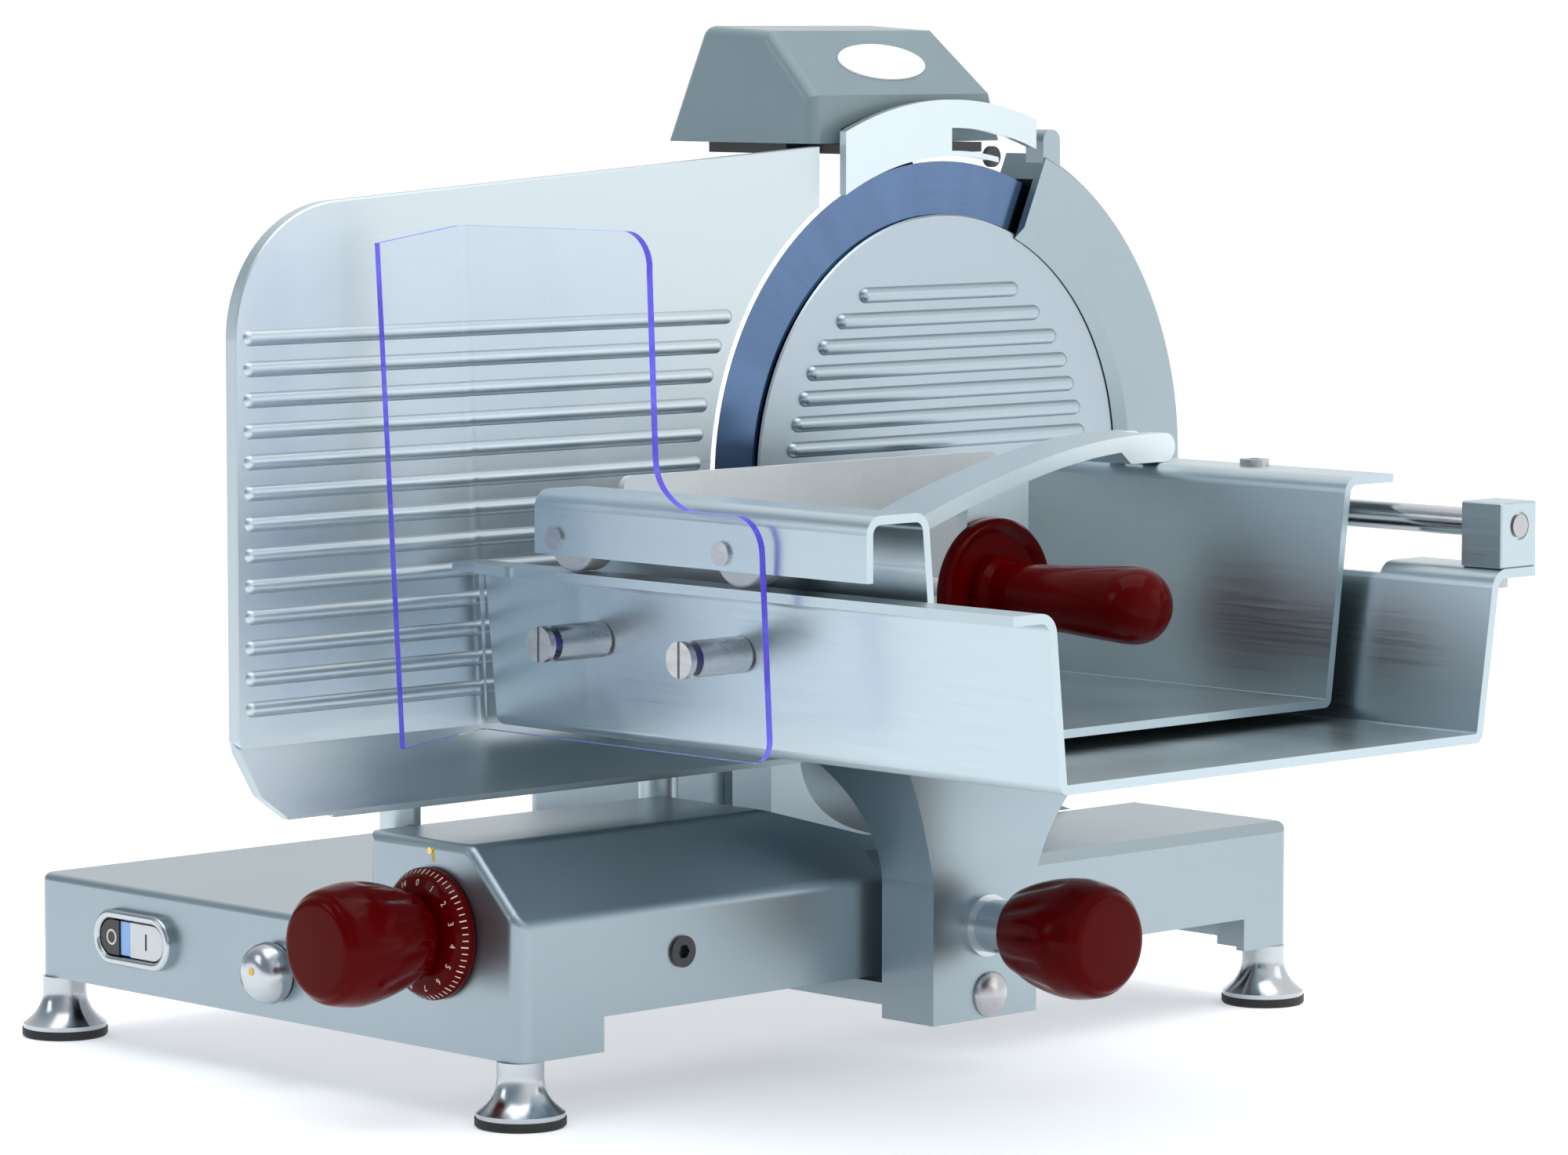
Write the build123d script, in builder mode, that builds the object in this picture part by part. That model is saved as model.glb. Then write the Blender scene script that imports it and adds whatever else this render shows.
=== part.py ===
from build123d import *
import math
import os

# ---------------------------------------------------------------- driving dimensions (mm)
# Working axes: X is the blade axis (product side +), Y runs along the carriage stroke,
# Z is up. The cutting plane is X = 0, the blade centre is at Y = 0, the floor is Z = 0.
BLADE_R = 175.0
BLADE_Z = 317.0

BASE_X = (-304.5, 108.8)
BASE_Y = (-414.5, 182.5)
BASE_Z = 34.3
SLAB_TOP = 92.8
UPPER_ROUND = 5.0
DECK_TOP = 107.0
HOUSE_X = (-12.0, 69.0)
HOUSE_TOP = 144.7
WALL = 6.0

FOOT_X = (-293.8, 97.8)
FOOT_Y = (-404.5, 171.4)
FOOT_R = 23.5

GUARD_ARC = (-80.0, 66.0)
GAUGE_T = 8.0
GAUGE_BOTTOM = 194.6
GAUGE_TRAVEL = 14.0
GAUGE_POSTS = (-381.0, -194.0)
GAUGE_BARS = (-401.0, -361.0, -214.0, -174.0)

MOTOR_Y = 40.0
MOTOR_Z = 165.0

DIAL_X = 40.5
DIAL_Z = 95.8

TRAY_X = (11.0, 425.5)
TRAY_T = 5.0
INNER_X = (88.0, 332.6)
ROD_Y = 2.5
ROD_Z = 309.0
ROD_R = 7.5
ARM_X = (157.0, 192.0)
PIVOT_Y = -17.0
PIVOT_Z = 339.2
PIVOT_R = 7.9
HANDLE_Y = -142.0
HANDLE_Z = 267.0
CAM_MIN = 11.0
STANDOFF_X = (100.0, 207.0)
ROLLER_X = (104.0, 230.0)

CLAMP_Y = -121.0
CLAMP_Z = 82.5
CLAMP_END = 183.7

# middle of the overall box, on the floor
ORIGIN_X = -54.2
ORIGIN_Y = 157.75

HUB = (0, 0, BLADE_Z)
BLADE_AXIS = Axis(HUB, (1, 0, 0))


def yz(x):
    """Plane facing +X at the given X; local x is Y, local y is Z."""
    return Plane.YZ.offset(x)


def xz(y):
    """Plane facing -Y at the given Y; local x is X, local y is Z."""
    return Plane.XZ.offset(-y)


def slab(x, y, z):
    """Box given by its two corners along each axis."""
    size = (x[1] - x[0], y[1] - y[0], z[1] - z[0])
    return Pos((x[0] + x[1]) / 2, (y[0] + y[1]) / 2, (z[0] + z[1]) / 2) * Box(*size, mode=Mode.PRIVATE)


def rod_x(x, y, z, radius):
    """Round bar along X."""
    middle = Pos((x[0] + x[1]) / 2, y, z) * Rot(0, 90, 0)
    return middle * Cylinder(radius, x[1] - x[0], mode=Mode.PRIVATE)


def rod_y(x, y, z, radius):
    """Round bar along Y."""
    middle = Pos(x, (y[0] + y[1]) / 2, z) * Rot(90, 0, 0)
    return middle * Cylinder(radius, y[1] - y[0], mode=Mode.PRIVATE)


def rod_z(x, y, z, radius):
    """Round bar along Z."""
    return Pos(x, y, (z[0] + z[1]) / 2) * Cylinder(radius, z[1] - z[0], mode=Mode.PRIVATE)


def ball(x, y, z, radius):
    """Sphere about a point."""
    return Pos(x, y, z) * Sphere(radius, mode=Mode.PRIVATE)


def polygon(points):
    """Closed face through the points, in the active sketch."""
    with BuildLine() as outline:
        Polyline(*points, close=True)
    make_face(outline.edges())


def bent_sheet(points, radius, thickness):
    """Face of a folded sheet whose left side follows the points, in the active sketch."""
    with BuildLine() as outline:
        FilletPolyline(*points, radius=radius)
        offset(amount=thickness, side=Side.LEFT, closed=True)
    make_face(outline.edges())


# ---------------------------------------------------------------- base

with BuildPart() as base_casting:
    with BuildSketch(Plane.XY.offset(BASE_Z)):
        with Locations((sum(BASE_X) / 2, sum(BASE_Y) / 2)):
            RectangleRounded(BASE_X[1] - BASE_X[0], BASE_Y[1] - BASE_Y[0], 9)
    extrude(amount=SLAB_TOP - BASE_Z)
    with BuildSketch(xz(BASE_Y[1])):
        polygon([(-12, SLAB_TOP - 1), (108.8, SLAB_TOP - 1), (108.8, 101), (103, DECK_TOP), (-12, DECK_TOP)])
    extrude(amount=BASE_Y[1] - BASE_Y[0])
    with BuildSketch(xz(-60)):
        with BuildLine():
            FilletPolyline((-12, HOUSE_TOP), (HOUSE_X[1], HOUSE_TOP), (108.8, 106.5), (108.8, 90), radius=9)
            Polyline((108.8, 90), (-12, 90), (-12, HOUSE_TOP))
        make_face()
    extrude(amount=-60 - BASE_Y[0])
    with BuildSketch(yz(-20)):
        polygon([(-205, HOUSE_TOP), (-205, 200), (-40, 200), (-40, DECK_TOP), (-75, DECK_TOP)])
    extrude(amount=140, mode=Mode.SUBTRACT)
    with BuildSketch(Plane.XY.offset(BASE_Z)):
        with Locations((sum(BASE_X) / 2, sum(BASE_Y) / 2)):
            RectangleRounded(BASE_X[1] - BASE_X[0], BASE_Y[1] - BASE_Y[0], 9)
    extrude(amount=HOUSE_TOP - BASE_Z + 1, mode=Mode.INTERSECT)
    upper = [e for e in base_casting.edges() if e.center().Z > SLAB_TOP + 2 and e.length > 20]
    fillet([e for e in upper if abs(e.center().Y - BASE_Y[0]) < 2], UPPER_ROUND)
    upper = [e for e in base_casting.edges() if e.center().Z > SLAB_TOP + 2 and e.length > 60]
    fillet([e for e in upper if abs(e.center().Y - BASE_Y[1]) < 2], UPPER_ROUND)
    fillet(base_casting.faces().sort_by(Axis.X)[0].edges().sort_by(Axis.Z)[-1], 4)
    # recess beside the carriage column and the long notch for the carriage arm
    add(slab((95, 120), (-152, -40), (BASE_Z - 1, 160)), mode=Mode.SUBTRACT)
    add(slab((60, 120), (-355.8, 142.5), (BASE_Z - 1, 53)), mode=Mode.SUBTRACT)
    # hollow inside
    left = BASE_X[0] + WALL
    add(slab((left, 102.8), (-408.5, -158), (BASE_Z - 1, SLAB_TOP - WALL)), mode=Mode.SUBTRACT)
    add(slab((left, 89), (-159, -33), (BASE_Z - 1, SLAB_TOP - WALL)), mode=Mode.SUBTRACT)
    add(slab((left, 102.8), (-34, 176.5), (BASE_Z - 1, SLAB_TOP - WALL)), mode=Mode.SUBTRACT)
    add(slab((-6, 70), (-408.5, -212), (60, HOUSE_TOP - 7)), mode=Mode.SUBTRACT)
    for fx in FOOT_X:
        for fy in FOOT_Y:
            cx = fx + math.copysign(7, -fx)
            cy = fy + math.copysign(7, -fy - 100)
            add(slab((cx - 12, cx + 12), (cy - 12, cy + 12), (BASE_Z, 88)))
            add(rod_z(fx, fy, (BASE_Z - 1, 62), 5.05), mode=Mode.SUBTRACT)
    # lugs that hold the two carriage rods and the four gauge bars
    for y in ((-409, -396), (165, 177)):
        add(slab((18, 78), y, (46, 80)))
    add(rod_y(32, (-408, 176), 58, 9.02), mode=Mode.SUBTRACT)
    add(rod_y(68, (-408, 176), 70, 6.02), mode=Mode.SUBTRACT)
    for y in ((-409, -354), (-221, -167)):
        add(slab((-72, -60), y, (62, 88)))
        add(slab((-3, 5), y, (62, 88)))
    for py in GAUGE_BARS:
        add(rod_x((-66.5, 6), py, 70, 5.05), mode=Mode.SUBTRACT)
    # openings for the controls
    with BuildSketch(xz(-400)):
        with Locations((-212.3, 64.4)):
            SlotOverall(60, 24)
        with Locations((-91.5, 60)):
            Circle(8.1)
        with Locations((DIAL_X, DIAL_Z)):
            Circle(8.05)
    extrude(amount=20, mode=Mode.SUBTRACT)
    add(rod_x((98, 110), -300.6, 81.7, 7.05), mode=Mode.SUBTRACT)
    add(rod_y(DIAL_X - 2, (-416, -409.9), 139.2, 1.82), mode=Mode.SUBTRACT)
    for py in GAUGE_POSTS:
        add(slab((-53, -12.5), (py - 13, py + 13), (80, 100)), mode=Mode.SUBTRACT)
    add(rod_x((-310, -295), 120, 62, 9.05), mode=Mode.SUBTRACT)

with BuildPart() as base_plate:
    add(slab((-298, 12), (-385, 152), (36, 38.5)))
    fillet(base_plate.edges().filter_by(Axis.Z), 6)

with BuildPart() as feet:
    for fx in FOOT_X:
        for fy in FOOT_Y:
            with BuildSketch(Plane(origin=(fx, fy, 0), x_dir=(1, 0, 0), z_dir=(0, -1, 0))):
                with BuildLine():
                    Polyline((0, 60), (5, 60), (5, BASE_Z), (12.5, BASE_Z), (12.5, 30))
                    Spline((12.5, 30), (14.6, 17), (FOOT_R, 7.5))
                    Polyline((FOOT_R, 7.5), (FOOT_R, 5), (0, 5), (0, 60))
                make_face()
            revolve(axis=Axis((fx, fy, 0), (0, 0, 1)))

with BuildPart() as foot_pads:
    for fx in FOOT_X:
        for fy in FOOT_Y:
            with BuildSketch(Plane(origin=(fx, fy, 0), x_dir=(1, 0, 0), z_dir=(0, -1, 0))):
                polygon([(0, 0), (FOOT_R - 0.5, 0), (FOOT_R + 0.6, 1.2), (FOOT_R + 0.6, 5), (0, 5)])
            revolve(axis=Axis((fx, fy, 0), (0, 0, 1)))

with BuildPart() as cable_gland:
    add(rod_x((-312, -296), 120, 62, 9))
    add(rod_x((-309, -304.5), 120, 62, 13))
    add(rod_x((-313, -290), 120, 62, 4), mode=Mode.SUBTRACT)

# ---------------------------------------------------------------- blade head
with BuildPart() as blade_head:
    start = math.radians(GUARD_ARC[0])
    side = Plane(origin=HUB, x_dir=(1, 0, 0), z_dir=(0, -math.sin(start), math.cos(start)))
    with BuildSketch(side):
        polygon([(4, 142), (9, 149), (9, 192), (6, 195), (-24, 195), (-24, 60),
                 (-16, 60), (-16, 179), (4, 179)])
    revolve(axis=BLADE_AXIS, revolution_arc=GUARD_ARC[1] - GUARD_ARC[0])
    with BuildSketch(yz(-24)):
        with Locations((0, BLADE_Z)):
            Circle(108)
    extrude(amount=8)
    # boss at the upper end of the guard
    with BuildSketch(yz(-6)):
        with Locations((84, 494)):
            RectangleRounded(14, 30, 6.5)
    extrude(amount=14)
    # two legs down to the base, with hollow flares
    with BuildSketch(yz(-48)):
        with BuildLine():
            Polyline((-34, DECK_TOP), (-117, DECK_TOP), (-117, 250), (-60, 300), (-60, 215))
            Spline((-60, 215), (-95, 165), (-34, DECK_TOP), tangents=[(-0.9, -0.5), (1, -0.2)])
        make_face()
        with BuildLine():
            Polyline((72, DECK_TOP), (128, DECK_TOP))
            Spline((128, DECK_TOP), (98, 150), (150, 230), tangents=[(-1, 0.25), (0.5, 0.9)])
            Polyline((150, 230), (72, 262), (72, DECK_TOP))
        make_face()
    extrude(amount=32)
    # bearing boss
    add(rod_x((-36, -16), 0, BLADE_Z, 34))
    add(rod_x((-37, -15), 0, BLADE_Z, 25.02), mode=Mode.SUBTRACT)

with BuildPart() as belt_case:
    with BuildSketch(yz(-68)):
        with Locations((0, BLADE_Z)):
            Circle(60)
        with Locations((MOTOR_Y, MOTOR_Z)):
            Circle(42)
        make_hull()
    extrude(amount=20)
    with BuildSketch(yz(-64)):
        with Locations((0, BLADE_Z)):
            Circle(56)
        with Locations((MOTOR_Y, MOTOR_Z)):
            Circle(38)
        make_hull()
    extrude(amount=17, mode=Mode.SUBTRACT)
    fillet(belt_case.faces().sort_by(Axis.X)[0].edges(), 3)
    add(rod_x((-70, -60), MOTOR_Y, MOTOR_Z, 12), mode=Mode.SUBTRACT)
    add(rod_x((-70, -60), 0, BLADE_Z, 4.3), mode=Mode.SUBTRACT)

with BuildPart() as motor_housing:
    with BuildSketch(Plane.XY.offset(SLAB_TOP)):
        with Locations((-155.5, 20)):
            RectangleRounded(175, 250, 14)
    extrude(amount=150)
    fillet(motor_housing.faces().sort_by(Axis.Z)[-1].edges(), 10)
    add(slab((-239, -72), (-101, 141), (SLAB_TOP - 1, 238)), mode=Mode.SUBTRACT)
    add(rod_x((-73, -67), MOTOR_Y, MOTOR_Z, 12), mode=Mode.SUBTRACT)
    for i in range(6):
        add(slab((-210 + 20 * i, -200 + 20 * i), (135, 150), (130, 190)), mode=Mode.SUBTRACT)

with BuildPart() as motor:
    add(rod_x((-222, -84), MOTOR_Y, MOTOR_Z, 55))
    add(rod_x((-226, -222), MOTOR_Y, MOTOR_Z, 48))
    add(rod_x((-84, -79), MOTOR_Y, MOTOR_Z, 46))
    add(slab((-205, -105), (MOTOR_Y - 42, MOTOR_Y + 42), (SLAB_TOP, 125)))
    add(rod_x((-84, -78), MOTOR_Y, MOTOR_Z, 8.05), mode=Mode.SUBTRACT)

with BuildPart() as motor_pulley:
    add(rod_x((-84, -36), MOTOR_Y, MOTOR_Z, 8))
    add(rod_x((-58, -36), MOTOR_Y, MOTOR_Z, 18))
    add(rod_x((-58, -56.5), MOTOR_Y, MOTOR_Z, 22))
    add(rod_x((-37.5, -36), MOTOR_Y, MOTOR_Z, 22))

with BuildPart() as drive_belt:
    with BuildSketch(yz(-55.5)):
        with Locations((0, BLADE_Z)):
            Circle(46.4)
        with Locations((MOTOR_Y, MOTOR_Z)):
            Circle(21.4)
        make_hull()
        offset(amount=-3, mode=Mode.SUBTRACT)
    extrude(amount=15)

with BuildPart() as blade_bearings:
    for x in (-35.5, -25.8):
        add(rod_x((x, x + 9), 0, BLADE_Z, 25))
        add(rod_x((x, x + 9), 0, BLADE_Z, 12.55), mode=Mode.SUBTRACT)

with BuildPart() as blade_shaft:
    add(rod_x((-60, -15.5), 0, BLADE_Z, 12.5))
    add(rod_x((-58, -39), 0, BLADE_Z, 43))
    add(rod_x((-58, -56.5), 0, BLADE_Z, 47))
    add(rod_x((-39.5, -38), 0, BLADE_Z, 47))
    add(rod_x((-15.5, -8), 0, BLADE_Z, 50))
    add(rod_x((-61, -7), 0, BLADE_Z, 4.8), mode=Mode.SUBTRACT)
    with BuildSketch(yz(-60)):
        with Locations((0, BLADE_Z)):
            with PolarLocations(28, 6):
                Circle(8)
    extrude(amount=30, mode=Mode.SUBTRACT)

with BuildPart() as blade:
    with BuildSketch(Plane(origin=HUB, x_dir=(1, 0, 0), z_dir=(0, 0, 1))):
        polygon([(-8, 20), (-5, 20), (-5, 62), (0, 128), (0, BLADE_R), (-0.5, BLADE_R),
                 (-4, 165), (-4, 132), (-8, 64)])
    revolve(axis=BLADE_AXIS)
    with BuildSketch(yz(-9)):
        with Locations((0, BLADE_Z)):
            with PolarLocations(38, 3):
                Circle(3.3)
    extrude(amount=6, mode=Mode.SUBTRACT)

with BuildPart() as blade_screws:
    with BuildSketch(yz(-8)):
        with Locations((0, BLADE_Z)):
            with PolarLocations(38, 3):
                Circle(3)
    extrude(amount=3)
    with BuildSketch(yz(-5)):
        with Locations((0, BLADE_Z)):
            with PolarLocations(38, 3):
                Circle(6)
                Rectangle(9, 1.4, mode=Mode.SUBTRACT)
    extrude(amount=3.5)

COVER_RIBS = [(100.5, 59), (86.4, 77), (72.3, 91), (58.2, 100), (44.1, 106), (30, 111.5), (15.9, 115)]

with BuildPart() as blade_cover:
    with BuildSketch(Plane(origin=HUB, x_dir=(1, 0, 0), z_dir=(0, 0, 1))):
        polygon([(0.9, 0), (0.9, 144), (2.1, 145), (3.2, 144), (3.2, 0)])
    revolve(axis=BLADE_AXIS)
    for dz, half in COVER_RIBS + [(3.6 - dz, half) for dz, half in COVER_RIBS]:
        add(rod_y(2.2, (-half - 3, half - 3), BLADE_Z + dz, 4.6))
        for end in (-half - 3, half - 3):
            add(ball(2.2, end, BLADE_Z + dz, 4.6))
    add(slab((-20, 0.9), (-200, 200), (BLADE_Z - 200, BLADE_Z + 200)), mode=Mode.SUBTRACT)
    add(rod_x((-80, 2), 0, BLADE_Z, 4))

with BuildPart() as cover_knob:
    add(rod_x((-94, -69), 0, BLADE_Z, 13))
    with BuildSketch(yz(-94)):
        with Locations((0, BLADE_Z)):
            with PolarLocations(16, 8):
                Circle(4)
    extrude(amount=25, mode=Mode.SUBTRACT)
    add(rod_x((-82, -68), 0, BLADE_Z, 4.05), mode=Mode.SUBTRACT)

# ---------------------------------------------------------------- sharpener
with BuildPart() as sharpener_plate:
    with BuildSketch(yz(4.2)):
        with Locations((0, BLADE_Z)):
            Circle(210)
            Circle(178, mode=Mode.SUBTRACT)
        with Locations((-6.5, 480)):
            Rectangle(153, 110, mode=Mode.INTERSECT)
    extrude(amount=5)
    with BuildSketch(yz(4)):
        with Locations((0, BLADE_Z)):
            Circle(194)
            Circle(181, mode=Mode.SUBTRACT)
        with Locations((42, 500)):
            Rectangle(82, 60, mode=Mode.INTERSECT)
        with Locations((58, 486)):
            Rectangle(38, 20)
    extrude(amount=6, mode=Mode.SUBTRACT)

with BuildPart() as sharpener_body:
    add(slab((-100, -12), (-86, 30), (504, 512)))
    add(slab((-98, -34), (-88, 30), (497, 504)))
    add(slab((-34, 4.2), (-74, 30), (497, 502.6)))
    with BuildSketch(yz(-4)):
        with Locations((0, BLADE_Z)):
            Circle(208)
            Circle(185, mode=Mode.SUBTRACT)
        with Locations((-38, 490)):
            Rectangle(72, 80, mode=Mode.INTERSECT)
    extrude(amount=8.2)
    add(slab((-30, -16), (-36, -24), (480, 500)))
    add(rod_x((-31, -15), -30, 485.5, 4.05), mode=Mode.SUBTRACT)
    add(rod_x((-18, -4), -30, 485.5, 16), mode=Mode.SUBTRACT)
    add(rod_x((0.5, 9), 40, 494, 6.5), mode=Mode.SUBTRACT)

with BuildPart() as sharpener_cover:
    with BuildSketch(xz(62)):
        polygon([(-127, 503), (-5, 503), (-5, 530), (-41, 566), (-95, 569)])
    extrude(amount=158)
    fillet(sharpener_cover.edges().filter_by(Axis.Y).group_by(Axis.Z)[-1], 8)
    near_end = sharpener_cover.faces().sort_by(Axis.Y)[0]
    fillet([e for e in near_end.edges() if e.center().Z > 510], 7)
    with BuildSketch(yz(-140)):
        polygon([(30, 575), (54, 500), (80, 500), (80, 575)])
    extrude(amount=150, mode=Mode.SUBTRACT)
    with BuildSketch(xz(34)):
        polygon([(-123, 502), (-9, 502), (-9, 529), (-42.5, 562), (-93.5, 565)])
    extrude(amount=126, mode=Mode.SUBTRACT)

with BuildPart() as badge:
    with BuildSketch(Plane(origin=(-23, -24, 548), x_dir=(0, 1, 0), z_dir=(1, 0, 1))):
        Ellipse(33.5, 14)
    extrude(amount=0.8)

with BuildPart() as grinding_stone:
    add(rod_x((-14, -5.2), -30, 485.5, 15))
    add(rod_x((-24, -5.2), -30, 485.5, 4))

with BuildPart() as honing_stone:
    add(rod_x((0.8, 4), 40, 494, 6))

# ---------------------------------------------------------------- gauge plate and its drive
with BuildPart() as gauge_plate:
    with BuildSketch(yz(-GAUGE_T)):
        with BuildLine():
            Polyline((-129, GAUGE_BOTTOM), (-505, GAUGE_BOTTOM))
            ThreePointArc((-505, GAUGE_BOTTOM), (-509.2, 196.4), (-511, 200.6))
            Line((-511, 200.6), (-511, 408))
            ThreePointArc((-511, 408), (-491, 457), (-444, 478.6))
            Polyline((-444, 478.6), (-94, 501.5), (-94, 468.2))
            ThreePointArc((-94, 468.2), (-178, BLADE_Z), (-129, GAUGE_BOTTOM))
        make_face()
    extrude(amount=GAUGE_T)
    chamfer(gauge_plate.faces().sort_by(Axis.X)[-1].edges(), 0.8)
    for i in range(13):
        z = 409 - 16 * i
        end = -math.sqrt(190 ** 2 - (z - BLADE_Z) ** 2)
        add(rod_y(-1.6, (-502, end), z, 4.4))
        add(ball(-1.6, -502, z, 4.4))
        add(ball(-1.6, end, z, 4.4))
    # sloping lip along the lower edge
    with BuildSketch(xz(-131)):
        polygon([(-6, 200), (0, 197), (27, 164), (26, 160.5), (22.5, 161), (-6, 195)])
    extrude(amount=380)
    with BuildSketch(yz(-5)):
        polygon([(-512, 175), (-512, 150), (-470, 150), (-470, 162), (-500, 162)])
    extrude(amount=40, mode=Mode.SUBTRACT)

with BuildPart() as gauge_posts:
    for py in GAUGE_POSTS:
        add(rod_z(-26, py, (58, 232), 11))
        add(slab((-26, -GAUGE_T), (py - 10, py + 10), (206, 232)))

with BuildPart() as gauge_carriage:
    add(slab((-39, -13), (-407, -167), (48, 58)))
    for py in GAUGE_BARS:
        add(slab((-39, -13), (py - 6, py + 6), (58, 80)))
    # follower that the spiral cam pushes back
    add(slab((-14, 18), (-352, -340), (50, 58)))
    add(slab((10, 18), (-352, -340), (56, 99)))
    add(slab((17, DIAL_X - CAM_MIN - 0.5), (-350, -342), (96.2, 99)))
    for py in GAUGE_BARS:
        add(rod_x((-45, -5), py, 70, 5.05), mode=Mode.SUBTRACT)

with BuildPart() as gauge_bars:
    for py in GAUGE_BARS:
        add(rod_x((-66, 2), py, 70, 5))


def cam_reach(angle):
    """Radius of the spiral cam at this turn of the dial, in degrees."""
    return CAM_MIN + GAUGE_TRAVEL * angle / 330


with BuildPart() as thickness_shaft:
    add(rod_y(DIAL_X, (-432, -300), DIAL_Z, 8))
    add(rod_y(DIAL_X, (-406, -402), DIAL_Z, 13))
    with BuildSketch(Plane(origin=(DIAL_X, -340, DIAL_Z), x_dir=(1, 0, 0), z_dir=(0, -1, 0))):
        with BuildLine():
            spiral = [(cam_reach(a) * math.cos(math.radians(180 - a)),
                       cam_reach(a) * math.sin(math.radians(180 - a))) for a in range(0, 331, 15)]
            Spline(*spiral)
            Line(spiral[-1], spiral[0])
        make_face()
    extrude(amount=12)

with BuildPart() as thickness_dial:
    with BuildSketch(Plane(origin=(DIAL_X, 0, DIAL_Z), x_dir=(1, 0, 0), z_dir=(0, 0, 1))):
        polygon([(0, -415), (34, -415), (35, -416), (35, -418.5), (31, -424), (24, -426.5), (0, -426.5)])
    revolve(axis=Axis((DIAL_X, 0, DIAL_Z), (0, 1, 0)))
    add(rod_y(DIAL_X, (-430, -414), DIAL_Z, 8), mode=Mode.SUBTRACT)


def fluted_grip(profile, flutes, depth):
    """Turned grip along local Z with wide flutes over its inner part, as a loose solid."""
    with BuildPart() as grip:
        with BuildSketch(Plane.XZ):
            with BuildLine():
                top = profile[-1][1]
                Polyline((profile[0][0], profile[0][1]), (0, profile[0][1]), (0, top), (profile[-1][0], top))
                Spline(*profile)
            make_face()
        revolve(axis=Axis.Z)
        fillet(grip.faces().sort_by(Axis.Z)[-1].edges(), 2)
        for k in range(flutes):
            tilt = Rot(0, 13, 0)
            groove = Pos(FLUTE_R + 29.4 - depth, 0, 23) * tilt * Cylinder(FLUTE_R, 34, mode=Mode.PRIVATE)
            add(Rot(0, 0, 360 * k / flutes) * groove, mode=Mode.SUBTRACT)
    return grip.part


GRIP_PROFILE = [(19, 0), (24, 6), (29.5, 22), (32.8, 42), (30.5, 59), (24, 67)]
FLUTE_R = 6.0
grip_turned = fluted_grip(GRIP_PROFILE, 12, 1.6)

with BuildPart() as thickness_grip:
    add(Pos(DIAL_X, -427, DIAL_Z) * Rot(90, 0, 0) * grip_turned)
    add(rod_y(DIAL_X, (-433, -426), DIAL_Z, 8), mode=Mode.SUBTRACT)

# ---------------------------------------------------------------- front panel controls
with BuildPart() as switch_bezel:
    with BuildSketch(xz(BASE_Y[0])):
        with Locations((-212.3, 64.4)):
            SlotOverall(68, 31)
            SlotOverall(58, 21, mode=Mode.SUBTRACT)
    extrude(amount=6)
    fillet(switch_bezel.faces().sort_by(Axis.Y)[0].edges(), 2)

with BuildPart() as switch_box:
    add(slab((-240, -184.6), (-408, -372), (50, 79)))

with BuildPart() as stop_button:
    with BuildSketch(xz(-411)):
        with Locations((-212.3, 64.4)):
            SlotOverall(56.4, 19.4)
        with Locations((-233.5, 64.4)):
            Rectangle(19, 30, mode=Mode.INTERSECT)
    extrude(amount=8)

with BuildPart() as lamp_lens:
    add(slab((-223.6, -214), (-418, -411), (55, 73.8)))

with BuildPart() as start_button:
    with BuildSketch(xz(-411)):
        with Locations((-212.3, 64.4)):
            SlotOverall(56.4, 19.4)
        with Locations((-198.5, 64.4)):
            Rectangle(30, 30, mode=Mode.INTERSECT)
    extrude(amount=8)

with BuildPart() as lock_knob:
    add(rod_y(-91.5, (-416, -400), 60, 8))
    with BuildSketch(Plane(origin=(-91.5, 0, 60), x_dir=(1, 0, 0), z_dir=(0, 0, 1))):
        with BuildLine():
            Polyline((0, -431), (0, -414.8), (15, -414.8), (16, -416))
            Spline((16, -416), (17.5, -421), (12, -430), (0, -431), tangents=[(0.4, -1), (-1, 0)])
        make_face()
    revolve(axis=Axis((-91.5, 0, 60), (0, 1, 0)))

with BuildPart() as index_pin:
    add(rod_y(DIAL_X - 2, (-415.2, -410), 139.2, 1.8))

with BuildPart() as side_plug:
    add(rod_x((100, 108.8), -300.6, 81.7, 7))
    add(rod_x((108.8, 110.6), -300.6, 81.7, 8.5))
    with BuildSketch(yz(107)):
        with Locations((-300.6, 81.7)):
            RegularPolygon(4, 6)
    extrude(amount=5, mode=Mode.SUBTRACT)

# ---------------------------------------------------------------- carriage
with BuildPart() as carriage_rods:
    add(rod_y(32, (-408, 176), 58, 9))
    add(rod_y(68, (-408, 176), 70, 6))

with BuildPart() as carriage_arm:
    add(slab((20, 46), (-166, -76), (44, 73)))
    add(slab((60, 76), (-150, -92), (47, 79)))
    add(slab((20, 117.8), (-150, -92), (36, 48)))
    add(rod_y(32, (-170, -70), 58, 9.05), mode=Mode.SUBTRACT)
    add(rod_y(68, (-170, -70), 70, 6.05), mode=Mode.SUBTRACT)

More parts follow.
